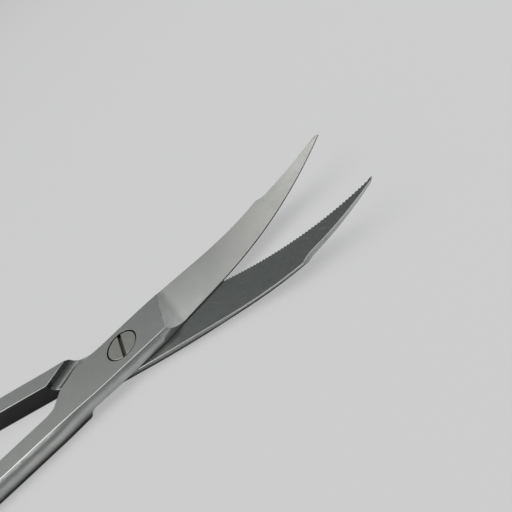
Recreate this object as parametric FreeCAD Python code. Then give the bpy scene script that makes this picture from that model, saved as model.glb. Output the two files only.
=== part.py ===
import FreeCAD, Part
import math
import os

V = FreeCAD.Vector

# Curved gum scissors: two crossing halves that lap at a screw. Millimetres and
# degrees. Each half is drawn closed, with the screw axis at the origin, the tips
# towards +X and the plane where the halves lap at height 0. It is then turned to
# its side of the opening and lifted, so that the underside lies at height 0.
# In the drawing position the upper half has its cutting edge and its shank on -Y.
# The lower half is the same shape turned over about the X axis, except that both
# blades curve up.

# Opening at which the pair lies
open_angle = 21.4

# Lap joint
lap = 1.5
blade_gap = 0.06
ridge_half_width = 3.65
waist_half_width = 4.2
waist_end_x = 4.5
flare_x = -6.1
flare_half_width = 4.25
diagonal = ((-8.2, 2.85), (-10.0, 2.0), (-11.6, -0.1))
lower_diagonal_setback = 0.4
shoulder_inner_x = -12.75
upper_shoulder_outer_x = -8.28
lower_shoulder_outer_x = -9.45
upper_cove = 0.6
lower_cove = 0.9

# Blades
blade_length = 38.0
curve_start = 15.5
curve_radius = 55.0
edge_root_x = 8.0
edge_root_half_width = 3.74
edge_belly = 0.14
tip_pass = 0.1
kink_x = 26.2
kink_half_width = 2.98
clip_step_middle = (26.75, 2.56)
clip_start = (27.7, 2.13)
clip_middle = (32.2, 1.36)
tip_width = 0.42
tip_slant = 0.45
edge_land = 0.2
spine_thickness_root = 1.35
spine_thickness_tip = 0.85
grind_start = 8.6
grind_crown = 0.1
runout_radius = 3.2
runout_angle = 66.0
runout_lead = 8.0
bevel_start_x = -3.7
upper_back_bevels = (1.0, 0.48, 0.2)
lower_back_bevels = (1.2, 0.8, 0.68)
bevel_land = 0.3
bevel_belly = 0.14
flare_facet_ridge = 3.07
flare_facet_drop = 0.12

# Fine teeth on the lower blade
tooth_pitch = 0.47
tooth_depth = 0.19
teeth_start = 8.8
teeth_tip_clear = 0.3
tooth_strip_width = 0.3

# Shanks
shank_inner = 0.4
shank_straight_end = -30.0
shank_end_ridge = 3.05
shank_end_bulge = 3.85
ring_join_y = 4.2
shank_curve_power = 1.7

# The rounded outer side, station by station: x, then how far out it is at the
# half's own outer face, at the lap plane and at the other face
upper_side_stations = (
    (shank_straight_end, shank_end_ridge, shank_end_bulge, shank_end_ridge),
    (-20.0, 3.3, 4.1, 3.15), (-12.75, 3.33, 4.15, 3.15), (-8.5, 3.48, 3.98, 3.1), (-5.5, 3.67, 4.1, 3.5),
    (-2.0, 3.67, 4.2, 3.6), (8.6, 3.65, 4.2, 3.65),
)
lower_side_stations = (
    (shank_straight_end, shank_end_ridge, shank_end_bulge, shank_end_ridge),
    (-20.0, 3.3, 4.1, 3.15), (-12.75, 3.33, 4.1, 3.15), (-10.0, 3.3, 4.05, 3.3), (-8.0, 3.15, 3.38, 3.05),
    (-5.5, 3.35, 3.48, 3.25), (-2.0, 3.65, 4.1, 3.6),
    (8.6, 3.65, 4.2, 3.65),
)

# The shank's curve to the ring, station by station: fraction of the way, then how
# much the flats narrow on each side and how far the inner and outer side bulge
shank_curve_stations = (
    (0.35, 0.15, 0.35, 0.8), (0.72, 0.25, 0.65, 0.75), (1.0, -0.9, 0.75, 0.75),
)

# Finger rings
handle_length = 90.0
ring_length = 29.0
ring_width = 23.7
ring_rod = 3.5
ring_side_bulge = 0.75
ring_end_radius = 8.5
ring_clearance = 0.35
ring_turn = 6.0

# Screw
head_radius = 2.25
head_height = 0.85
head_sink = 0.04
head_chamfer = 0.08
head_clearance = 0.1
slot_width = 0.55
slot_depth = 0.42
slot_angle = 93.0
bearing_radius = 1.5
bearing_clearance = 0.04
thread_radius = 1.25
thread_clearance = 0.01
under_head_clearance = 0.03

# Working allowances of the cutting bodies
beyond = 8.0
overcut = 0.02
side_overrun = 0.18
face_overrun = 1.5
side_rows = 21
face_columns = 9
ground_rows = 14
runout_rows = 8

half_gap = blade_gap / 2


def rise(radius):
    """Height of the blades' meeting surface at a distance from the screw axis."""
    past = max(radius - curve_start, 0.0)
    return curve_radius - math.sqrt(curve_radius**2 - past**2)


def bow(start, end, belly):
    """Return the height function of a shallow arc over X, and its middle point."""
    middle_x = (start[0] + end[0]) / 2
    middle = (middle_x, (start[1] + end[1]) / 2 + belly)
    span = end[0] - start[0]

    def height(x):
        along = (x - start[0]) / span
        chord = start[1] + (end[1] - start[1]) * along
        return chord + 4 * belly * along * (1 - along)

    return height, middle


edge_start = (edge_root_x, edge_root_half_width)
edge_end = (blade_length, tip_pass)
edge_height, edge_middle = bow(edge_start, edge_end, edge_belly)


def spine_height(x):
    """Half width on the spine side, along the straight back of the blade."""
    slope = (kink_half_width - flare_half_width) / (kink_x - flare_x)
    return flare_half_width + slope * (x - flare_x)


def spine_thickness(x):
    """Blade thickness along the straight back, easing down towards the tip."""
    left = (blade_length - x) / (blade_length - grind_start)
    return spine_thickness_tip + (spine_thickness_root - spine_thickness_tip) * left**2


def ground_height(x, y):
    """Thickness of the ground blade at a plan point; y points to the spine."""
    width = edge_height(x) + spine_height(x)
    across = (y + edge_height(x)) / width
    root_width = edge_height(grind_start) + spine_height(grind_start)
    crown = 4 * grind_crown * (width / root_width) ** 2 * across * (1 - across)
    return edge_land + (spine_thickness(x) - edge_land) * across + crown


def line(a, b):
    return Part.LineSegment(V(*a), V(*b)).toShape()


def arc(a, middle, b):
    return Part.Arc(V(*a), V(*middle), V(*b)).toShape()


def prism(edges, low, high):
    """Closed plan outline, drawn at height 0, as a body between two heights."""
    face = Part.Face(Part.Wire(edges))
    face.translate(V(0, 0, low))
    return face.extrude(V(0, 0, high - low))


def slab(x_low, x_high, y_low, y_high, z_low, z_high):
    size = (x_high - x_low, y_high - y_low, z_high - z_low)
    return Part.makeBox(*size, V(x_low, y_low, z_low))


def meeting_body(offset, side):
    """All the space under (side -1) or over (side 1) the blades' meeting surface.

    The surface is turned about the screw axis, so the blades pass each other at
    the same small distance at every opening.
    """
    reach = blade_length + beyond / 2
    far = side * 4 * beyond
    middle = (curve_start + reach) / 2
    start = (curve_start, 0, offset)
    end = (reach, 0, rise(reach) + offset)
    edges = [
        line((0, 0, far), (0, 0, offset)),
        line((0, 0, offset), start),
        arc(start, (middle, 0, rise(middle) + offset), end),
        line(end, (reach, 0, far)),
        line((reach, 0, far), (0, 0, far)),
    ]
    face = Part.Face(Part.Wire(edges))
    return face.revolve(V(0, 0, 0), V(0, 0, 1), 360)


def flat_outline(side):
    """Plan of blade, joint and straight shank; side 1 has the shank on -Y."""
    def at(x, y):
        return (x, side * y, 0)

    waist = waist_half_width + beyond / 4
    tip_edge = at(blade_length, -tip_pass)
    tip_back = at(blade_length - tip_slant, -tip_pass + tip_width)
    clip = at(*clip_start)
    kink = at(kink_x, kink_half_width)
    setback = lower_diagonal_setback if side < 0 else 0.0
    corners = [
        (kink_x, kink_half_width), (flare_x, flare_half_width),
        *[(x + setback, y) for x, y in diagonal],
        (shoulder_inner_x, -shank_inner), (shank_straight_end, -shank_inner),
        (shank_straight_end, -waist), (flare_x, -waist),
        (waist_end_x, -waist_half_width - overcut), (edge_root_x, -edge_root_half_width),
    ]
    return [
        arc(at(edge_root_x, -edge_root_half_width), at(edge_middle[0], -edge_middle[1]), tip_edge),
        line(tip_edge, tip_back),
        arc(tip_back, at(*clip_middle), clip),
        arc(clip, at(*clip_step_middle), kink),
    ] + [line(at(*a), at(*b)) for a, b in zip(corners, corners[1:])]


def carry_arc(a, middle, b):
    """The arc through three section points, carried on a little past both ends."""
    edge = arc(a, middle, b)
    extra = side_overrun / edge.Curve.Radius
    first, last = edge.ParameterRange
    points = [edge.Curve.value(p) for p in (first - extra, (first + last) / 2, last + extra)]
    return Part.Arc(*points)


def side_cutter(stations):
    """Body outside a rounded side: a loft through arcs closed far off the side.

    Each station gives three points of the side's arc, then two far points outside.
    """
    wires = []
    for a, middle, b, far_b, far_a in stations:
        rounded = carry_arc(a, middle, b)
        first, last = tuple(rounded.StartPoint), tuple(rounded.EndPoint)
        edges = [rounded.toShape(), line(last, far_b), line(far_b, far_a), line(far_a, first)]
        wires.append(Part.Wire(edges))
    return Part.makeLoft(wires, True, False)


def outer_side_cutter(side, sections):
    """Rounds the outer side of joint and shank into the curve of a D section."""
    far_y = -side * (waist_half_width + beyond)

    def station(x, near, middle, far):
        return ((x, -side * near, side * lap), (x, -side * middle, 0),
                (x, -side * far, -side * lap),
                (x, far_y, -side * beyond), (x, far_y, side * beyond))

    def between(x):
        for start, end in zip(sections, sections[1:]):
            if x <= end[0] + overcut:
                share = max((x - start[0]) / (end[0] - start[0]), 0.0)
                return [a + (b - a) * share for a, b in zip(start[1:], end[1:])]

    rows = spaced(sections[0][0], sections[-1][0], side_rows)
    behind = 2 * rows[0] - rows[1]
    return side_cutter([station(x, *between(x)) for x in [behind] + rows])


def spine_bevel_cutters(side, back_bevels):
    """Round the back of blade and joint; flatten to a narrow facet on the flare."""
    def station(x, bevel, drop):
        back = spine_height(x)
        thick = spine_thickness(x) if x > grind_start else lap
        base = rise(math.hypot(x, back))
        ridge = (x, side * (back - bevel), base + side * thick)
        wall = (x, side * back, ridge[2] - side * drop * thick)
        belly = bevel_belly * drop * thick
        middle = (x, side * (back - bevel / 2 + belly),
                  (ridge[2] + wall[2]) / 2 + side * belly / 2)
        far_y = side * (back + beyond)
        return wall, middle, ridge, (x, far_y, ridge[2] + side * beyond), (x, far_y, wall[2])

    waist, root, blade = back_bevels
    middle_x = (bevel_start_x + grind_start) / 2
    front = [station(x, bevel, 1 - bevel_land) for x, bevel in (
        (bevel_start_x, waist), (middle_x, root + (waist - root) / 4), (grind_start, root),
        (curve_start, blade), ((curve_start + kink_x) / 2, blade),
        (kink_x, blade), (kink_x + beyond / 2, blade))]
    facet = [station(x, spine_height(x) - flare_facet_ridge, flare_facet_drop / lap)
             for x in (diagonal[1][0], flare_x)]
    return side_cutter(facet), side_cutter([facet[-1], front[0]]), side_cutter(front)


def surface_cutter(side, rows):
    """Space outside a smooth face through rows of points."""
    surface = Part.BSplineSurface()
    surface.interpolate([[V(*point) for point in row] for row in rows])
    return surface.toShape().extrude(V(0, 0, side * 6 * beyond))


def spaced(first, last, count):
    return [first + (last - first) * i / (count - 1) for i in range(count)]


def ground_face_cutter(side):
    """Space outside the slightly crowned outer face that grinding leaves on a blade.

    The face leaves a narrow land at the cutting edge, rises towards the spine and
    follows the upward curve of the blade.
    """
    rows = []
    for x in spaced(grind_start, blade_length + face_overrun, ground_rows):
        rows.append([(x, side * y, rise(math.hypot(x, y)) + side * ground_height(x, y))
                     for y in spaced(-beyond, beyond, face_columns)])
    return surface_cutter(side, rows)


def runout_cutter(side):
    """Space over the round run-out that grinding leaves behind the ground face."""
    rows = []
    for angle in spaced(-runout_lead, runout_angle, runout_rows):
        turn = math.radians(angle)
        x = grind_start - runout_radius * math.sin(turn)
        lift = runout_radius * (1 - math.cos(turn)) - overcut
        rows.append([(x, side * y, side * (ground_height(grind_start, y) + lift))
                     for y in spaced(-beyond, beyond, face_columns)])
    return surface_cutter(side, rows)


def shoulder_front(side, outer_x):
    """Everything ahead of the oblique shoulder where the full shank begins."""
    def at(x, y):
        return (x, side * y, 0)

    lean = (outer_x - shoulder_inner_x) / (ridge_half_width - shank_inner)
    near_x = shoulder_inner_x - lean * (beyond + shank_inner)
    far_x = shoulder_inner_x + lean * (beyond - shank_inner)
    front = blade_length + beyond
    corners = [at(near_x, beyond), at(far_x, -beyond), at(front, -beyond), at(front, beyond)]
    edges = [line(a, b) for a, b in zip(corners, corners[1:] + corners[:1])]
    return prism(edges, -3 * beyond, 3 * beyond)


def coved_recess(side, outer_x, cove):
    """Space that the other half needs, with a round cove along the shoulder's foot."""
    recess = meeting_body(side * half_gap, -side).common(shoulder_front(side, outer_x))
    foot = [edge for edge in recess.Edges
            if edge.Length > beyond and edge.CenterOfMass.x < flare_x
            and abs(edge.CenterOfMass.z - side * half_gap) < overcut / 2]
    return recess.makeFillet(cove, foot)


def half_blank(side, back_bevels, side_stations, shoulder_outer_x, cove):
    """Blade, lapped joint and straight shank of one half, before holes and ring."""
    deep = 2 * beyond
    low, high = (-lap, deep) if side > 0 else (-deep, deep)
    body = prism(flat_outline(side), low, high)
    outside = slab(-2 * handle_length, grind_start, -deep, deep, lap, 2 * deep)
    if side < 0:
        outside = outside.mirror(V(0, 0, 0), V(0, 0, 1))
        shank_top = slab(-2 * handle_length, 0, -deep, deep, lap, 2 * deep)
        body = body.cut(shank_top)
    body = body.cut(outside)
    body = body.cut(outer_side_cutter(side, side_stations))
    body = body.cut(coved_recess(side, shoulder_outer_x, cove))
    body = body.cut(ground_face_cutter(side))
    body = body.cut(runout_cutter(side))
    for cutter in spine_bevel_cutters(side, back_bevels):
        body = body.cut(cutter)
    return body


def tooth_comb():
    """Row of V gaps between the fine teeth of the lower cutting edge."""
    count = int((blade_length - teeth_tip_clear - teeth_start) / tooth_pitch)
    points = []
    for i in range(count):
        x = teeth_start + i * tooth_pitch
        points.append((x, edge_height(x) + overcut, 0))
        valley = x + tooth_pitch / 2
        points.append((valley, edge_height(valley) - tooth_depth, 0))
    end_x = teeth_start + count * tooth_pitch
    points.append((end_x, edge_height(end_x) + overcut, 0))
    points.append((end_x, beyond, 0))
    points.append((teeth_start, beyond, 0))
    edges = [line(a, b) for a, b in zip(points, points[1:] + points[:1])]
    return prism(edges, -beyond, 2 * beyond)


def toothed(body):
    """The lower half with its teeth cut in a strip of its own along the edge."""
    start, end = teeth_start - tooth_pitch, blade_length - teeth_tip_clear
    middle = (start + end) / 2
    inside = [(x, edge_height(x) - tooth_strip_width, 0) for x in (start, middle, end)]
    edges = [arc(*inside), line(inside[-1], (end, beyond, 0)),
             line((end, beyond, 0), (start, beyond, 0)), line((start, beyond, 0), inside[0])]
    strip = prism(edges, -beyond, 2 * beyond)
    return body.cut(strip).fuse(body.common(strip).cut(tooth_comb()))


def rod_section():
    """Section of the ring's rod: two flats joined by rounded sides, in the XZ plane."""
    out, b = ring_rod / 2, lap
    a = out - ring_side_bulge
    return [
        line((-a, 0, b), (a, 0, b)),
        arc((a, 0, b), (out, 0, 0), (a, 0, -b)),
        line((a, 0, -b), (-a, 0, -b)),
        arc((-a, 0, -b), (-out, 0, 0), (-a, 0, b)),
    ]


def ring_arc(centre, radius, first_angle, sweep):
    """Part of the ring: the rod's section turned about a centre in the plan."""
    face = Part.Face(Part.Wire(rod_section()))
    face.translate(V(radius, 0, 0))
    face.rotate(V(0, 0, 0), V(0, 0, 1), first_angle)
    solid = face.revolve(V(0, 0, 0), V(0, 0, 1), sweep)
    solid.translate(V(*centre, 0))
    return solid


def finger_ring():
    """Oval finger ring of the upper half, from four tangent arcs."""
    long_half = (ring_length - ring_rod) / 2
    short_half = (ring_width - ring_rod) / 2
    end_offset = long_half - ring_end_radius
    side_radius = (end_offset**2 + short_half**2 - ring_end_radius**2) / (
        2 * (short_half - ring_end_radius))
    side_offset = side_radius - short_half
    half_end = math.degrees(math.atan2(side_offset, end_offset))
    pieces = []
    for turn in (0, 180):
        end = ring_arc((end_offset, 0), ring_end_radius, -half_end, 2 * half_end)
        flank = ring_arc((0, -side_offset), side_radius, half_end, 180 - 2 * half_end)
        for piece in (end, flank):
            piece.rotate(V(0, 0, 0), V(0, 0, 1), turn)
            pieces.append(piece)
    ring = pieces[0].fuse(pieces[1:]).removeSplitter()
    ring.rotate(V(0, 0, 0), V(0, 0, 1), ring_turn)
    ring.translate(ring_centre())
    return ring


def ring_centre():
    return V(-(handle_length - ring_length / 2), -(ring_width / 2 + ring_clearance), 0)


def curved_shank():
    """The upper half's shank from the straight part out to the ring."""
    join = ring_centre() + V(ring_length / 2 - ring_rod / 2, ring_join_y, 0)
    middle_y = -(shank_inner + shank_end_ridge) / 2
    run = shank_straight_end - join.x
    power = shank_curve_power
    first = (0.0, 0.0, 0.0, shank_end_bulge - shank_end_ridge)
    wires = []
    for along, narrowing, inner, outer in (first,) + shank_curve_stations:
        x = shank_straight_end - run * along
        y = middle_y + (join.y - middle_y) * along**power
        heading = math.atan2(-(join.y - middle_y) * power * along**(power - 1) / run, 1.0)
        half = (shank_end_ridge - shank_inner) / 2 - narrowing
        inner_side = line((0, half, -lap), (0, half, lap))
        if inner > 0:
            inner_side = arc((0, half, -lap), (0, half + inner, 0), (0, half, lap))
        edges = [
            line((0, half, lap), (0, -half, lap)),
            arc((0, -half, lap), (0, -half - outer, 0), (0, -half, -lap)),
            line((0, -half, -lap), (0, half, -lap)),
            inner_side,
        ]
        wire = Part.Wire(edges)
        wire.rotate(V(0, 0, 0), V(0, 0, 1), math.degrees(heading))
        wire.translate(V(x, y, 0))
        wires.append(wire)
    return Part.makeLoft(wires, True, False)


def handle():
    """Curved shank and ring of the upper half."""
    return curved_shank().fuse(finger_ring())


def turned_over(shape):
    """The lower half's copy of a piece: turned over about the X axis."""
    copy = shape.copy()
    copy.rotate(V(0, 0, 0), V(1, 0, 0), 180)
    return copy


def upper_half():
    body = half_blank(1, upper_back_bevels, upper_side_stations,
                      upper_shoulder_outer_x, upper_cove)
    body = body.fuse(handle())
    bore = Part.makeCylinder(bearing_radius + bearing_clearance, 4 * lap, V(0, 0, -2 * lap))
    seat_floor = lap - head_sink - head_height - under_head_clearance
    seat = Part.makeCylinder(head_radius + head_clearance, 2 * lap, V(0, 0, seat_floor))
    return body.cut(bore).cut(seat).removeSplitter()


def lower_half():
    body = half_blank(-1, lower_back_bevels, lower_side_stations,
                      lower_shoulder_outer_x, lower_cove)
    body = body.fuse(turned_over(handle()))
    hole = Part.makeCylinder(thread_radius + thread_clearance, 4 * lap, V(0, 0, -2 * lap))
    return toothed(body.cut(hole).removeSplitter())


def pivot_screw():
    """Slotted screw: head sunk in the upper half, end flush with the underside."""
    top = lap - head_sink
    head_base = top - head_height
    profile = [
        (0, -lap), (thread_radius, -lap), (thread_radius, -half_gap),
        (bearing_radius, -half_gap), (bearing_radius, head_base),
        (head_radius, head_base), (head_radius, top - head_chamfer),
        (head_radius - head_chamfer, top), (0, top),
    ]
    corners = [(r, 0, z) for r, z in profile]
    edges = [line(a, b) for a, b in zip(corners, corners[1:] + corners[:1])]
    body = Part.Face(Part.Wire(edges)).revolve(V(0, 0, 0), V(0, 0, 1), 360)
    slot = slab(-beyond, beyond, -slot_width / 2, slot_width / 2, top - slot_depth, top + lap)
    slot.rotate(V(0, 0, 0), V(0, 0, 1), slot_angle + open_angle / 2)
    return body.cut(slot)


def placed(shape, angle):
    """Turned about the screw to its side of the opening, and lifted to rest."""
    result = shape.copy()
    result.rotate(V(0, 0, 0), V(0, 0, 1), angle)
    result.translate(V(0, 0, lap))
    return result


def main():
    os.makedirs("parts", exist_ok=True)
    nodes = {
        "upper_half": placed(upper_half(), open_angle / 2),
        "lower_half": placed(lower_half(), -open_angle / 2),
        "pivot_screw": placed(pivot_screw(), -open_angle / 2),
    }
    for name, shape in nodes.items():
        solids = shape.Solids
        solid = solids[0] if len(solids) == 1 else shape
        print(name, len(solids), "solid, valid", solid.isValid(), "volume %.2f" % solid.Volume)
        solid.exportStep("parts/%s.step" % name)


main()
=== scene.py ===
# %% [markdown]
# # Curved gum scissors in satin steel
# This lesson dresses a finished CAD model. The frame holds three steel nodes: the
# plain upper half, the finely toothed lower half and the slotted pivot screw.
# Their shapes are already right, so the work here is in rounding the edges that a
# polishing wheel would break, and in building steel that looks ground and handled.

# %% Load the frame
import bmesh
import bpy
import math
from mathutils import Matrix, Vector


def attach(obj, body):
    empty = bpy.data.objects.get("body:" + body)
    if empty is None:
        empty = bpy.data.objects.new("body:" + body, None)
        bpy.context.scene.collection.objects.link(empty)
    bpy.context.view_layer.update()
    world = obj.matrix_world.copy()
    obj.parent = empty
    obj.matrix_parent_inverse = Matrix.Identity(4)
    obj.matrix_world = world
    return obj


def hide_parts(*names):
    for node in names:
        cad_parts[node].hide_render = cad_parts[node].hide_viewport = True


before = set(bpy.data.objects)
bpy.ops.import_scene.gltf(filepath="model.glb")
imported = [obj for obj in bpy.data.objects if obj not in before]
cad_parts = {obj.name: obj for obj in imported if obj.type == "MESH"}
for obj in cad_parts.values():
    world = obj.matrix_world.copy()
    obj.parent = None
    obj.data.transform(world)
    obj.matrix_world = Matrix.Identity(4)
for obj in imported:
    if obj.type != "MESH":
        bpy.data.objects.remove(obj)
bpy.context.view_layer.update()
MM = 0.001

# %% [markdown]
# ## The camera
# The pair was seen from close by, about 70 mm from the screw, so the near parts look
# clearly larger than the far ones. A camera could be placed by eye, but then the
# outline would never settle. Here it is turned with three plain angles, and the
# screw is put at its own place in the picture. Both are easy to check and to change.

# %% Camera
PICTURE = 512
SENSOR = 36.0
FOCAL_PIXELS = 536.15
SCREW_PIXEL = (121.5, 345.2)
SCREW_DISTANCE = 70.0
SCREW_POINT = Vector((0.0, 0.0, 2.977))
AZIMUTH, TILT, ROLL = 0.04805, 0.91284, -0.66811
NEAREST_SEEN = 0.002

turn = (Matrix.Rotation(AZIMUTH, 3, "Z") @ Matrix.Rotation(TILT, 3, "X")
        @ Matrix.Rotation(ROLL, 3, "Z"))
across = (SCREW_PIXEL[0] - PICTURE / 2) / FOCAL_PIXELS * SCREW_DISTANCE
up = (PICTURE / 2 - SCREW_PIXEL[1]) / FOCAL_PIXELS * SCREW_DISTANCE
place = SCREW_POINT - turn @ Vector((across, up, -SCREW_DISTANCE))

camera_data = bpy.data.cameras.new("camera")
camera_data.sensor_width = SENSOR
camera_data.lens = FOCAL_PIXELS / PICTURE * SENSOR
camera_data.clip_start = NEAREST_SEEN
camera = bpy.data.objects.new("camera", camera_data)
camera.matrix_world = Matrix.Translation(place * MM) @ turn.to_4x4()
bpy.context.scene.collection.objects.link(camera)
bpy.context.scene.camera = camera
bpy.context.scene.view_settings.view_transform = "Standard"
print("camera at, mm:", [round(v, 1) for v in place],
      "lens", round(camera_data.lens, 2))

# %% [markdown]
# ## Small helpers for nodes
# Every material below is a handful of nodes and links. They could be added line by
# line, but that hides what matters. One helper adds a node and fills its inputs, a
# second makes a node group with named sockets, and a third places such a group in a
# material, because an effect that several steels share is built once.

# %% Nodes and groups
def add_node(tree, kind, inputs=None, **settings):
    node = tree.nodes.new(kind)
    for name, value in settings.items():
        setattr(node, name, value)
    for name, value in (inputs or {}).items():
        fill(tree, node.inputs[name], value)
    return node


def fill(tree, socket, value):
    """Link a socket to another one, or set it to a plain value."""
    if isinstance(value, bpy.types.NodeSocket):
        tree.links.new(value, socket)
    else:
        socket.default_value = value


def new_group(name, inputs, outputs):
    tree = bpy.data.node_groups.new(name, "ShaderNodeTree")
    for label, kind, value in inputs:
        socket = tree.interface.new_socket(label, in_out="INPUT", socket_type=kind)
        socket.default_value = value
    for label, kind in outputs:
        tree.interface.new_socket(label, in_out="OUTPUT", socket_type=kind)
    return tree, tree.nodes.new("NodeGroupInput"), tree.nodes.new("NodeGroupOutput")


def group_node(tree, group, **values):
    node = tree.nodes.new("ShaderNodeGroup")
    node.node_tree = group
    for name, value in values.items():
        node.inputs[name].default_value = value
    return node


print("scene starts with", len(bpy.data.materials), "materials")

# %% [markdown]
# ## Nodes that calculate
# A finish is mostly arithmetic on masks: add two, multiply one down, blend two
# tones, or turn a stretch of noise into a soft step. Each gets one short name here,
# so that the steel later reads like a recipe.

# %% Sums, blends and soft steps
def math_node(tree, operation, first, second=0.0, clamp=False):
    node = add_node(tree, "ShaderNodeMath", {0: first, 1: second}, operation=operation)
    node.use_clamp = clamp
    return node.outputs[0]


def times(tree, first, second):
    return math_node(tree, "MULTIPLY", first, second)


def mix_socket(node, name):
    """The Mix node keeps a socket of each kind; find the one in use."""
    kind = "VALUE" if name == "Factor" else "RGBA"
    return next(i for i in node.inputs if i.name == name and i.type == kind)


def mix_colour(tree, factor, first, second):
    node = add_node(tree, "ShaderNodeMix", data_type="RGBA")
    for name, value in (("Factor", factor), ("A", first), ("B", second)):
        fill(tree, mix_socket(node, name), value)
    return next(o for o in node.outputs if o.type == "RGBA")


def ramp(tree, value, low, high, to_low=0.0, to_high=1.0):
    """A soft step from to_low to to_high, as value goes from low to high."""
    node = add_node(tree, "ShaderNodeMapRange", {
        "Value": value, "From Min": low, "From Max": high,
        "To Min": to_low, "To Max": to_high}, interpolation_type="SMOOTHSTEP")
    return node.outputs["Result"]


print("blend helpers ready:", ramp.__name__, mix_colour.__name__)

# %% [markdown]
# ## The table
# The pair lies on plain pale paper. A backdrop could be curved up behind it, but the
# camera looks down and never sees that far, so one wide flat sheet is enough. It is
# a hair lower than the steel, so that the two never share a plane.

# %% Floor
FLOOR_HALF = 1.2
FLOOR_Z = -0.02 * MM

floor_bm = bmesh.new()
bmesh.ops.create_grid(floor_bm, x_segments=4, y_segments=4, size=FLOOR_HALF)
bmesh.ops.translate(floor_bm, verts=floor_bm.verts, vec=(0, 0, FLOOR_Z))
floor_mesh = bpy.data.meshes.new("floor")
floor_bm.to_mesh(floor_mesh)
floor_bm.free()
floor = bpy.data.objects.new("floor", floor_mesh)
bpy.context.scene.collection.objects.link(floor)
print("floor half width, m:", FLOOR_HALF)

# %% [markdown]
# ## The paper
# Paper that is only lit would go grey under soft light. More light would whiten it,
# but would bleach the steel as well. So the paper also shows a plain pale tone of
# its own to the camera and to reflections. The rest is still lit paper with a faint
# cloudiness, and keeps the soft shadow.

# %% Paper
FLOOR_GREY = (0.775, 0.78, 0.785, 1.0)
FLOOR_LIGHT = (0.8, 0.8, 0.8, 1.0)
FLOOR_SEEN = (0.63, 0.633, 0.633, 1.0)
FLOOR_OWN_LIGHT = 0.65
CLOUD_SCALE = 9.0

paper = bpy.data.materials.new("pale_paper")
paper.use_nodes = True
tree = paper.node_tree
paper_shader = tree.nodes["Principled BSDF"]
paper_shader.inputs["Roughness"].default_value = 0.9
paper_shader.inputs["Specular IOR Level"].default_value = 0.1
spot = add_node(tree, "ShaderNodeTexCoord").outputs["Object"]
cloud = add_node(tree, "ShaderNodeTexNoise", {
    "Vector": spot, "Scale": CLOUD_SCALE, "Detail": 2.0})
tone = mix_colour(tree, cloud.outputs["Fac"], FLOOR_GREY, FLOOR_LIGHT)
tree.links.new(tone, paper_shader.inputs["Base Color"])

rays = add_node(tree, "ShaderNodeLightPath").outputs
seen = math_node(tree, "MAXIMUM", rays["Is Camera Ray"], rays["Is Glossy Ray"])
seen = math_node(tree, "MAXIMUM", seen, rays["Is Transmission Ray"])
own_light = add_node(tree, "ShaderNodeEmission", {"Color": FLOOR_SEEN})
blend = add_node(tree, "ShaderNodeMixShader", {
    0: times(tree, seen, FLOOR_OWN_LIGHT),
    1: paper_shader.outputs["BSDF"], 2: own_light.outputs["Emission"]})
tree.links.new(blend.outputs["Shader"], tree.nodes["Material Output"].inputs["Surface"])
floor_mesh.materials.append(paper)
print("share of the paper's own tone:", FLOOR_OWN_LIGHT)

# %% [markdown]
# ## The light tent
# Steel shows what stands around it more than its own colour, so the surroundings
# matter more than the lamps. The real pair lay in a white tent: one soft opening high
# up on the handle side, pale cloth low down all round, and dim cloth in between. A
# ring of lamps would leave a hard glint each on satin steel. Here the sky is painted
# with two soft steps, one round the bright opening and one from the table upwards.

# %% World
SKY_DARK = (0.17, 0.177, 0.178, 1.0)
SKY_BRIGHT = (1.12, 1.12, 1.08, 1.0)
SKY_TOWARDS = Vector((-0.38, 0.11, 0.92)).normalized()
SKY_EDGE, SKY_FULL = 0.74, 1.0
SKY_LOW = (0.64, 0.64, 0.63, 1.0)
SKY_LOW_TOP = 0.3

world = bpy.data.worlds.new("studio")
world.use_nodes = True
bpy.context.scene.world = world
sky = world.node_tree
sky.nodes.clear()
direction = add_node(sky, "ShaderNodeTexCoord").outputs["Generated"]
facing = add_node(sky, "ShaderNodeVectorMath", {0: direction, 1: SKY_TOWARDS},
                  operation="DOT_PRODUCT").outputs["Value"]
tent = mix_colour(sky, ramp(sky, facing, SKY_EDGE, SKY_FULL), SKY_DARK, SKY_BRIGHT)
rise = add_node(sky, "ShaderNodeSeparateXYZ", {"Vector": direction}).outputs["Z"]
low_sky = ramp(sky, rise, 0.0, SKY_LOW_TOP, 1.0, 0.0)
lit = add_node(sky, "ShaderNodeBackground", {
    "Color": mix_colour(sky, low_sky, tent, SKY_LOW)})
add_node(sky, "ShaderNodeOutputWorld", {"Surface": lit.outputs[0]})
print("sky brightest towards", [round(v, 2) for v in SKY_TOWARDS])

# %% [markdown]
# ## Two side lamps
# The tent alone lights the paper too little. Two lamps on opposite sides make up for
# it. They stand where none of the broad faces mirrors them, so they only put a spark
# on the rounded edges, and each softens the other's shadow.

# %% Lamps
LAMP_SIZE = 0.5
RIGHT_PLACE, RIGHT_POWER = (0.38, 0.07, 0.39), 1.0
LEFT_PLACE, LEFT_POWER = (-0.42, -0.08, 0.36), 0.85


def soft_lamp(name, place, power):
    """A square lamp that looks at the screw."""
    data = bpy.data.lights.new(name, "AREA")
    data.shape = "RECTANGLE"
    data.size = data.size_y = LAMP_SIZE
    data.energy = power
    lamp = bpy.data.objects.new(name, data)
    lamp.location = place
    lamp.rotation_euler = (-Vector(place)).to_track_quat("-Z", "Y").to_euler()
    bpy.context.scene.collection.objects.link(lamp)
    return lamp


right_lamp = soft_lamp("right_lamp", RIGHT_PLACE, RIGHT_POWER)
left_lamp = soft_lamp("left_lamp", LEFT_PLACE, LEFT_POWER)
print("lamp powers, W:", right_lamp.data.energy, left_lamp.data.energy)

# %% [markdown]
# ## Cards for the reflections
# Bright metal on a pale table easily loses its edges, because its upright walls
# mirror the table. A photographer slides dark cards between the parts until the walls
# turn dark and the outline reads. The same can be done here, because a card may be
# seen by reflections alone: it hides nothing from the camera and throws no shadow.

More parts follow.
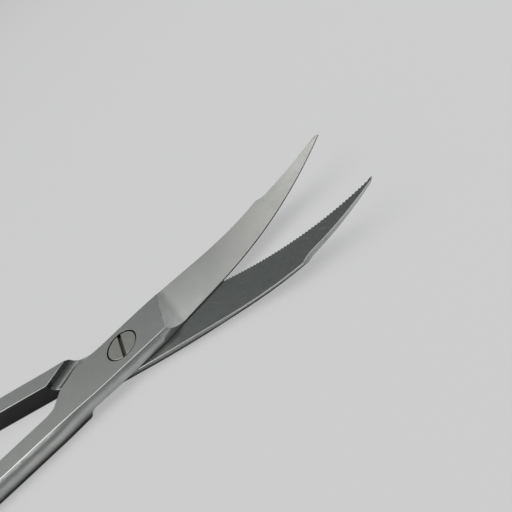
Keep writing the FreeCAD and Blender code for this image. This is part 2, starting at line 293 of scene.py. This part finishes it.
# %% A card
def card(name, centre, half_size, height):
    """A flat card of felt that only reflections can see."""
    card_bm = bmesh.new()
    bmesh.ops.create_grid(card_bm, x_segments=1, y_segments=1, size=1.0)
    bmesh.ops.scale(card_bm, verts=card_bm.verts, vec=(*half_size, 1))
    bmesh.ops.translate(card_bm, verts=card_bm.verts, vec=(*centre, height))
    mesh = bpy.data.meshes.new(name)
    card_bm.to_mesh(mesh)
    card_bm.free()
    piece = bpy.data.objects.new(name, mesh)
    bpy.context.scene.collection.objects.link(piece)
    piece.visible_camera = False
    piece.visible_diffuse = False
    piece.visible_shadow = False
    piece.visible_transmission = False
    felt = bpy.data.materials.new(name + "_felt")
    felt.use_nodes = True
    felt.node_tree.nodes["Principled BSDF"].inputs["Roughness"].default_value = 0.95
    mesh.materials.append(felt)
    print(name, "half size, mm:", [round(v / MM, 1) for v in half_size])
    return felt.node_tree


# %% [markdown]
# ## The near card
# The largest card stands in for the paper close to the steel. Real paper darkens
# where the steel hides the sky, and the walls mirror that darker paper. A painted
# patch would have to be redrawn for each opening of the blades. An Ambient Occlusion
# node finds the hidden places by itself, in every pose.

# %% Near card
NEAR_HALF_SIZE = (0.2, 0.2)
NEAR_Z = -0.013 * MM
NEAR_REACH = 12.0 * MM
NEAR_HIDDEN, NEAR_OPEN = 0.55, 1.0
NEAR_DARK, NEAR_LIGHT = (0.05, 0.05, 0.05, 1.0), (0.8, 0.8, 0.8, 1.0)

near_felt = card("near_card", (0, 0), NEAR_HALF_SIZE, NEAR_Z)
nearness = add_node(near_felt, "ShaderNodeAmbientOcclusion",
                    {"Distance": NEAR_REACH}, samples=8)
open_sky = ramp(near_felt, nearness.outputs["AO"], NEAR_HIDDEN, NEAR_OPEN)
near_felt.links.new(mix_colour(near_felt, open_sky, NEAR_DARK, NEAR_LIGHT),
                    near_felt.nodes["Principled BSDF"].inputs["Base Color"])

# %% [markdown]
# ## The black cards of painted shade
# Between the shanks and under the blades the walls face each other across a narrow
# strip of shaded paper, and in the real pair they are almost black. A darker steel
# would turn every other face dark as well, so two small black cards lie there
# instead, as painted shade that the walls mirror.

# %% Black cards
# black felt: painted shade on the cards between the parts
SHADE_FELT_BLACK = (0.004, 0.004, 0.004, 1.0)
SHADE_CARD_Z = -0.006 * MM
SHADE_CARDS = {"shank_shade_card": ((-0.035, 0), (0.026, 0.0055)),
               "blade_shade_card": ((0.029, -0.0015), (0.019, 0.0045))}

# two black cards of painted shade, seen only in reflections
for name, (centre, half_size) in SHADE_CARDS.items():
    shade_felt = card(name, centre, half_size, SHADE_CARD_Z)
    shade_felt.nodes["Principled BSDF"].inputs["Base Color"].default_value = SHADE_FELT_BLACK

# %% [markdown]
# ## Rounding the edges
# On the real pair each ridge has been broken by the polishing wheel to a line of
# about a tenth of a millimetre, and that line is what catches the light. A shader
# could only fake it from one side, so the mesh itself is bevelled. First each node
# is copied, and its loose triangles are merged. Slivers are dissolved and flat areas
# are joined into single faces, because a bevel crumples on thin triangles.

# %% Merge a copy
MERGE = 0.002 * MM
SLIVER = 0.02 * MM
FLAT = math.radians(0.4)


def merged_copy(node):
    bm = bmesh.new()
    bm.from_mesh(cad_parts[node].data)
    bmesh.ops.remove_doubles(bm, verts=bm.verts, dist=MERGE)
    bmesh.ops.dissolve_degenerate(bm, edges=bm.edges, dist=SLIVER)
    bmesh.ops.dissolve_limit(bm, angle_limit=FLAT, use_dissolve_boundaries=False,
                             verts=bm.verts, edges=bm.edges, delimit={"NORMAL"})
    print(node, "copied as", len(bm.faces), "faces")
    return bm


# %% [markdown]
# ## The worn ridges
# Now the ridges get their narrow bevel. All edges could be picked by hand, but a
# ridge is simply an edge that stands out and turns sharply, so the script finds
# them. The new faces are marked as worn, and the steel can then show them a little
# more polished. The cutting edges and the teeth are passed over and stay sharp.

# %% Round the ridges
RIDGE_ANGLE = math.radians(24)
RIDGE_STEPS = 2


def round_ridges(bm, keep_sharp, width):
    """Bevel the ridges by width and mark the new faces as worn."""
    worn = bm.faces.layers.float.new("worn")
    ridges = [edge for edge in bm.edges
              if edge.is_manifold and edge.is_convex
              and edge.calc_face_angle(0.0) > RIDGE_ANGLE and not keep_sharp(edge)]
    made = bmesh.ops.bevel(bm, geom=ridges, offset=width, offset_type="OFFSET",
                           segments=RIDGE_STEPS, profile=0.5, affect="EDGES",
                           clamp_overlap=False, material=-1, loop_slide=True)
    for face in made["faces"]:
        face[worn] = 1.0
    print("ridge edges rounded:", len(ridges))


# %% [markdown]
# ## Even shading
# Smooth shading lets a curved blade look curved, but it also smears light over flat
# ground next to a ridge. Splitting every edge would show the facets of the curves.
# So an edge is marked sharp at a clear corner, and already at a slight one where flat
# ground meets a worn ridge. Weighted normals then let the large faces lead.

# %% Finish a piece
SMOOTH_ANGLE = math.radians(35)
BORDER_ANGLE = math.radians(9)


def mark_sharp(bm):
    worn = bm.faces.layers.float["worn"]
    for edge in bm.edges:
        if edge.is_manifold:
            first, second = edge.link_faces
            at_ridge = first[worn] != second[worn]
            limit = BORDER_ANGLE if at_ridge else SMOOTH_ANGLE
            edge.smooth = edge.calc_face_angle(0.0) < limit


def finished_object(bm, name, node, body, materials):
    for face in bm.faces:
        face.smooth = True
    mark_sharp(bm)
    mesh = bpy.data.meshes.new(name)
    bm.to_mesh(mesh)
    bm.free()
    for material in materials:
        mesh.materials.append(material)
    piece = bpy.data.objects.new(name, mesh)
    bpy.context.scene.collection.objects.link(piece)
    even = piece.modifiers.new("even_shading", "WEIGHTED_NORMAL")
    even.keep_sharp = True
    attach(piece, body)
    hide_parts(node)
    print(name, len(mesh.polygons), "faces")
    return piece


# %% [markdown]
# ## Hair lines
# Satin steel is bright steel rubbed with fine abrasive. Up close it is a bed of short
# hair lines that run along the piece. An image could carry them, but it would blur
# when seen closer. Noise on Object coordinates stays sharp and never slides: it is
# turned to the direction of the rubbing and stretched far along it.

# %% Hair lines
def grain_group():
    tree, source, sink = new_group(
        "hair_lines",
        [("Along", "NodeSocketFloat", 500.0), ("Across", "NodeSocketFloat", 9000.0),
         ("Turn", "NodeSocketFloat", 0.0)],
        [("Lines", "NodeSocketFloat")])
    given = source.outputs
    spot = add_node(tree, "ShaderNodeTexCoord").outputs["Object"]
    turned = add_node(tree, "ShaderNodeVectorRotate", {
        "Vector": spot, "Angle": given["Turn"]}, rotation_type="Z_AXIS")
    stretch = add_node(tree, "ShaderNodeCombineXYZ", {
        "X": given["Along"], "Y": given["Across"], "Z": given["Across"]})
    scaled = add_node(tree, "ShaderNodeVectorMath", {
        0: turned.outputs["Vector"], 1: stretch.outputs["Vector"]},
        operation="MULTIPLY")
    lines = add_node(tree, "ShaderNodeTexNoise", {
        "Vector": scaled.outputs["Vector"], "Scale": 1.0, "Detail": 3.0,
        "Roughness": 0.6})
    tree.links.new(lines.outputs["Fac"], sink.inputs["Lines"])
    return tree


hair_lines = grain_group()
print("group:", hair_lines.name)

# %% [markdown]
# ## Handled patches
# Hands and oil leave broad soft patches that are a little duller, and polishing grit
# leaves pinprick specks. Both are random, so they could be painted by hand, but two
# noises do it: a broad one for the patches and a very fine one for the specks.

# %% Handled patches
GRIT_SCALE = 5200.0
DULL_FROM, DULL_TO = 0.35, 0.68
SPECK_FROM, SPECK_TO = 0.62, 0.74


def patches_group():
    tree, source, sink = new_group(
        "handled_patches", [("Size", "NodeSocketFloat", 220.0)],
        [("Dull", "NodeSocketFloat"), ("Specks", "NodeSocketFloat")])
    spot = add_node(tree, "ShaderNodeTexCoord").outputs["Object"]
    cloud = add_node(tree, "ShaderNodeTexNoise", {
        "Vector": spot, "Scale": source.outputs["Size"], "Detail": 4.0,
        "Roughness": 0.55, "Distortion": 0.4})
    dull = ramp(tree, cloud.outputs["Fac"], DULL_FROM, DULL_TO)
    tree.links.new(dull, sink.inputs["Dull"])
    grit = add_node(tree, "ShaderNodeTexNoise", {
        "Vector": spot, "Scale": GRIT_SCALE, "Detail": 1.0})
    specks = ramp(tree, grit.outputs["Fac"], SPECK_FROM, SPECK_TO)
    tree.links.new(specks, sink.inputs["Specks"])
    return tree


handled_patches = patches_group()
print("group:", handled_patches.name)

# %% [markdown]
# ## Stray scratches
# A used pair has a few long scratches across the grain. Modelled grooves would need
# far too many faces for something a hundredth of a millimetre wide. Noise that is
# stretched thin and cut off near its peak leaves just a few short lines.

# %% Stray scratches
SCRATCH_STRETCH = (160.0, 5200.0, 400.0)
SCRATCH_FROM, SCRATCH_TO = 0.76, 0.82


def scratches_group():
    tree, source, sink = new_group(
        "stray_scratches", [("Turn", "NodeSocketFloat", 0.6)],
        [("Scratch", "NodeSocketFloat")])
    spot = add_node(tree, "ShaderNodeTexCoord").outputs["Object"]
    turned = add_node(tree, "ShaderNodeVectorRotate", {
        "Vector": spot, "Angle": source.outputs["Turn"]}, rotation_type="Z_AXIS")
    scaled = add_node(tree, "ShaderNodeVectorMath", {
        0: turned.outputs["Vector"], 1: SCRATCH_STRETCH}, operation="MULTIPLY")
    lines = add_node(tree, "ShaderNodeTexNoise", {
        "Vector": scaled.outputs["Vector"], "Scale": 1.0, "Detail": 0.0})
    scratch = ramp(tree, lines.outputs["Fac"], SCRATCH_FROM, SCRATCH_TO)
    tree.links.new(scratch, sink.inputs["Scratch"])
    return tree


stray_scratches = scratches_group()
print("groups:", [group.name for group in bpy.data.node_groups])

# %% [markdown]
# ## Old oil and painted shade round the screw
# A thin dark line of old oil sits in the gap round the screw's head and on the floor
# of its slot, with painted shade that deepens the gap. The gap is modelled, but light
# alone leaves it too pale. The dark line could be a piece of its own, yet it has no
# form. It is a mask instead: a ring between two radii, and what lies deeper than the
# slot's upper edges.

# %% Old oil and painted shade
# a mask of old oil and painted shade in the gap round the screw's head and in its slot
GAP_RING_INNER, GAP_RING_OUTER, GAP_RING_FADE = 2.2 * MM, 2.36 * MM, 0.06 * MM
SEAT_Z, SLOT_Z, SLOT_FADE = 1.9 * MM, 2.72 * MM, 0.1 * MM
SLOT_OIL_AND_SHADE = 0.75


def gap_oil_and_shade(tree):
    """Old oil and painted shade in the narrow gap round the screw's head and its slot.
    """
    spot = add_node(tree, "ShaderNodeTexCoord").outputs["Object"]
    flat = add_node(tree, "ShaderNodeVectorMath", {0: spot, 1: (1.0, 1.0, 0.0)},
                    operation="MULTIPLY").outputs["Vector"]
    radius = add_node(tree, "ShaderNodeVectorMath", {0: flat},
                      operation="LENGTH").outputs["Value"]
    height = add_node(tree, "ShaderNodeSeparateXYZ", {"Vector": spot}).outputs["Z"]
    inside = ramp(tree, radius, GAP_RING_INNER - GAP_RING_FADE, GAP_RING_INNER)
    outside = ramp(tree, radius, GAP_RING_OUTER, GAP_RING_OUTER + GAP_RING_FADE, 1.0, 0.0)
    ring = times(tree, inside, outside)
    deep = ramp(tree, height, SLOT_Z, SLOT_Z + SLOT_FADE, 1.0, 0.0)
    within = ramp(tree, radius, GAP_RING_INNER, GAP_RING_INNER + GAP_RING_FADE, SLOT_OIL_AND_SHADE, 0.0)
    slot = times(tree, deep, within)
    above = math_node(tree, "GREATER_THAN", height, SEAT_Z)
    return times(tree, math_node(tree, "MAXIMUM", ring, slot), above)


print("oil ring, mm:", round(GAP_RING_INNER / MM, 2), "to", round(GAP_RING_OUTER / MM, 2))

# %% [markdown]
# ## The colour of the steel
# One flat grey would do for a toy. Real satin steel lies between a brighter and a
# duller tone. The handled patches and the hair lines together choose between the
# two, then the scratches and worn ridges show fresher metal, and the specks, the
# old oil and the painted shade round the screw darken it. Each mask is weakened
# before it is used, because none may stand out.

# %% Colour
WORN_STEEL = (0.72, 0.73, 0.72, 1.0)
SPECK_STEEL = (0.25, 0.26, 0.25, 1.0)
# the dark tone of old oil and painted shade round the screw
OIL_AND_SHADE_TONE = (0.05, 0.052, 0.045, 1.0)
STREAK_FROM, STREAK_TO = 0.3, 0.7
STREAK_SHARE, DULL_SHARE = 0.35, 0.65
SCRATCH_SHARE, WORN_SHARE, SPECK_SHARE = 0.35, 0.5, 0.12


def steel_colour(tree, masks, bright, dull):
    streaks = ramp(tree, masks["lines"], STREAK_FROM, STREAK_TO)
    streaks = times(tree, streaks, STREAK_SHARE)
    tone = times(tree, masks["dull"], DULL_SHARE)
    tone = math_node(tree, "ADD", tone, streaks, clamp=True)
    marks = times(tree, masks["scratch"], SCRATCH_SHARE)
    fresh = times(tree, masks["worn"], WORN_SHARE)
    marks = math_node(tree, "ADD", marks, fresh, clamp=True)
    specks = times(tree, masks["specks"], SPECK_SHARE)
    colour = mix_colour(tree, tone, bright, dull)
    colour = mix_colour(tree, marks, colour, WORN_STEEL)
    colour = mix_colour(tree, specks, colour, SPECK_STEEL)
    return mix_colour(tree, masks["oil_and_shade"], colour, OIL_AND_SHADE_TONE)


print("tones on top of the steel: worn", WORN_STEEL[:3], "oil_and_shade", OIL_AND_SHADE_TONE[:3])

# %% [markdown]
# ## The gloss of the steel
# Satin is neither mirror nor matt, and its roughness changes from line to line. A
# single value would look like plastic. The hair lines spread it round a mean, the
# patches and the oil make it duller and the worn ridges glossier. The same lines and
# scratches also give a very low relief, so that highlights break up along the grain.

# %% Gloss and relief
GLOSS_FROM, GLOSS_TO = 0.25, 0.75
SMOOTHER, ROUGHER = 0.06, 0.07
DULL_ROUGHNESS, WORN_POLISH, OIL_ROUGHNESS = 0.05, 0.1, 0.2
SCRATCH_DEPTH = 0.6
RELIEF_HEIGHT = 0.02 * MM


def steel_roughness(tree, masks, rough):
    value = ramp(tree, masks["lines"], GLOSS_FROM, GLOSS_TO,
                 rough - SMOOTHER, rough + ROUGHER)
    value = math_node(tree, "ADD", value, times(tree, masks["dull"], DULL_ROUGHNESS))
    value = math_node(tree, "SUBTRACT", value, times(tree, masks["worn"], WORN_POLISH))
    return math_node(tree, "ADD", value, times(tree, masks["oil_and_shade"], OIL_ROUGHNESS))


def steel_relief(tree, masks, strength):
    grooves = times(tree, masks["scratch"], SCRATCH_DEPTH)
    height = math_node(tree, "SUBTRACT", masks["lines"], grooves)
    relief = add_node(tree, "ShaderNodeBump", {
        "Height": height, "Strength": strength, "Distance": RELIEF_HEIGHT})
    return relief.outputs["Normal"]


print("relief, mm:", round(RELIEF_HEIGHT / MM, 3))

# %% [markdown]
# ## The steels
# The real pair shows several steels: satin along the joint and shanks, a brighter
# ground face on the outside of each blade, a darker and smoother one where the
# blades meet, and a slightly warm screw. The darker one is also laid on the lower
# half's cove as painted shade. They are the same metal, so one function builds them
# all, and only the two tones, the mean roughness and the way the hair lines run differ.

# %% Steel
SCRATCHES_OFF_GRAIN = 0.7


def steel(name, bright, dull, rough, lines_along, lines_turn, bump=0.12):
    """Satin steel: bright and dull are its two tones, rough its mean roughness."""
    material = bpy.data.materials.new(name)
    material.use_nodes = True
    tree = material.node_tree
    shader = tree.nodes["Principled BSDF"]
    shader.inputs["Metallic"].default_value = 1.0
    grain = group_node(tree, hair_lines, Along=lines_along, Turn=lines_turn)
    patches = group_node(tree, handled_patches)
    scratches = group_node(tree, stray_scratches, Turn=lines_turn + SCRATCHES_OFF_GRAIN)
    worn = add_node(tree, "ShaderNodeAttribute", attribute_name="worn")
    # the oil mask holds old oil and painted shade round the screw
    masks = {"lines": grain.outputs["Lines"], "dull": patches.outputs["Dull"],
             "specks": patches.outputs["Specks"], "worn": worn.outputs["Fac"],
             "scratch": scratches.outputs["Scratch"], "oil_and_shade": gap_oil_and_shade(tree)}
    for socket, value in (("Base Color", steel_colour(tree, masks, bright, dull)),
                          ("Roughness", steel_roughness(tree, masks, rough)),
                          ("Normal", steel_relief(tree, masks, bump))):
        tree.links.new(value, shader.inputs[socket])
    print("steel:", name, "roughness about", rough)
    return material


# %% [markdown]
# ## Places along a half
# Both halves share one pattern: the lower one is the upper one turned over. Which
# steel a face gets can therefore be said once, in the half's own directions: along
# it towards the tip, and sideways towards its spine. Each half is turned by half the
# opening, so that turn is taken out of a point or of a face's normal.

# %% Own directions
HALF_TURN = math.radians(10.7)


def own_way(vector, side):
    """The share along the half and the share towards its spine."""
    along = vector.x * math.cos(HALF_TURN) + side * vector.y * math.sin(HALF_TURN)
    to_spine = side * vector.y * math.cos(HALF_TURN) - vector.x * math.sin(HALF_TURN)
    return along, to_spine


print("half turn, degrees:", round(math.degrees(HALF_TURN), 1))

# %% [markdown]
# ## Which face gets which steel
# The maker grinds the outside of each blade after the rest is satin finished, and
# leaves the faces that slide on each other smooth; these get a darker steel. The
# borders could be painted, but they follow from the shape: what faces the other half
# is an inner face, what faces outwards beyond the run-out is ground, and the rest is
# satin. The upright wall of the cove looks forward, and gets the dark inner steel as
# painted shade.

# %% Choose a steel
SATIN, GROUND, INNER = 0, 1, 2
RUN_OUT_X = 5.6 * MM
LAP_X = -12.6 * MM
LAP_Z = 1.5 * MM
COVE_X = (-13.5 * MM, -8.4 * MM)
SAME_PLANE = 0.02 * MM
INWARD, OUTWARD = -0.8, 0.3
COVE_NOT_FLAT, COVE_FORWARD, COVE_SIDEWAYS = 0.97, 0.3, -0.2


def choose_steel(face, side):
    """The slot for a face: side is 1 on the upper half and -1 on the lower."""
    centre = face.calc_center_median()
    along, _ = own_way(centre, side)
    outward = face.normal.z * side
    far_plane = LAP_Z * (1 - side)
    on_far_plane = along < 0 and abs(centre.z - far_plane) < SAME_PLANE
    if outward < INWARD and along > LAP_X and not on_far_plane:
        return INNER
    forward, sideways = own_way(face.normal, side)
    # the cove wall takes the dark inner steel as painted shade
    in_cove = COVE_X[0] < along < COVE_X[1] and abs(outward) < COVE_NOT_FLAT
    if in_cove and forward > COVE_FORWARD and sideways > COVE_SIDEWAYS:
        return INNER
    if along > RUN_OUT_X and outward > OUTWARD:
        return GROUND
    return SATIN


print("ground from, mm:", round(RUN_OUT_X / MM, 1))

# %% [markdown]
# ## The edges that cut
# A rounded cutting edge would look blunt, and rounded teeth would vanish. So these
# edges are found by their place: beyond the run-out, on the side away from the
# spine. The limit slants, because the blade narrows towards its tip.

# %% Cutting edges
BLADE_LENGTH = 38.0 * MM
CUT_AT_TIP, CUT_SLANT = 0.1 * MM, 2.0 * MM


def cuts(edge, side):
    """True on the cutting edge and its teeth, which stay sharp."""
    along, to_spine = own_way((edge.verts[0].co + edge.verts[1].co) / 2, side)
    share = (BLADE_LENGTH - along) / (BLADE_LENGTH - RUN_OUT_X)
    return along > RUN_OUT_X and to_spine < CUT_AT_TIP - CUT_SLANT * share


print("blade length, mm:", round(BLADE_LENGTH / MM, 1))

# %% [markdown]
# ## Dress the halves
# Everything is ready for the two large pieces. Each half could be dressed in its own
# cell, but they differ only in which side is up, so one loop does both: copy, round,
# choose the steels, and put the result in the place of the CAD node. The hair lines
# follow each half's own length.

# %% Halves
HALF_RIDGE = 0.06 * MM


def half_steels(half, turn):
    return [
        steel(half + "_satin", (0.6, 0.61, 0.6, 1), (0.5, 0.515, 0.51, 1),
              0.34, 500.0, turn),
        steel(half + "_ground", (0.66, 0.665, 0.65, 1), (0.57, 0.58, 0.57, 1),
              0.36, 420.0, turn),
        # darker steel for the faces where the blades meet, and painted shade in the
        # cove
        steel(half + "_inner", (0.37, 0.39, 0.375, 1), (0.28, 0.3, 0.29, 1),
              0.27, 600.0, turn, bump=0.06),
    ]


for node, side in (("upper_half", 1), ("lower_half", -1)):
    bm = merged_copy(node)
    round_ridges(bm, lambda edge: cuts(edge, side), HALF_RIDGE)
    for face in bm.faces:
        face.material_index = choose_steel(face, side)
    finished_object(bm, node + "_steel", node, node,
                    half_steels(node, -side * HALF_TURN))

# %% [markdown]
# ## Dress the screw
# The screw is turned from another bar, and its satin is a touch warmer. It is small
# and crisp, so its ridges get half the rounding of the halves. Its hair lines run at
# an angle of their own, as a screw stops where it happens to be tight. It rides on
# the lower half, because its thread holds there.

# %% Screw
SCREW_RIDGE = 0.03 * MM
SCREW_LINES_TURN = 0.9

bm = merged_copy("pivot_screw")
round_ridges(bm, lambda edge: False, SCREW_RIDGE)
finished_object(bm, "pivot_screw_steel", "pivot_screw", "lower_half", [
    steel("screw_satin", (0.6, 0.605, 0.565, 1), (0.5, 0.505, 0.465, 1),
          0.33, 700.0, SCREW_LINES_TURN)])
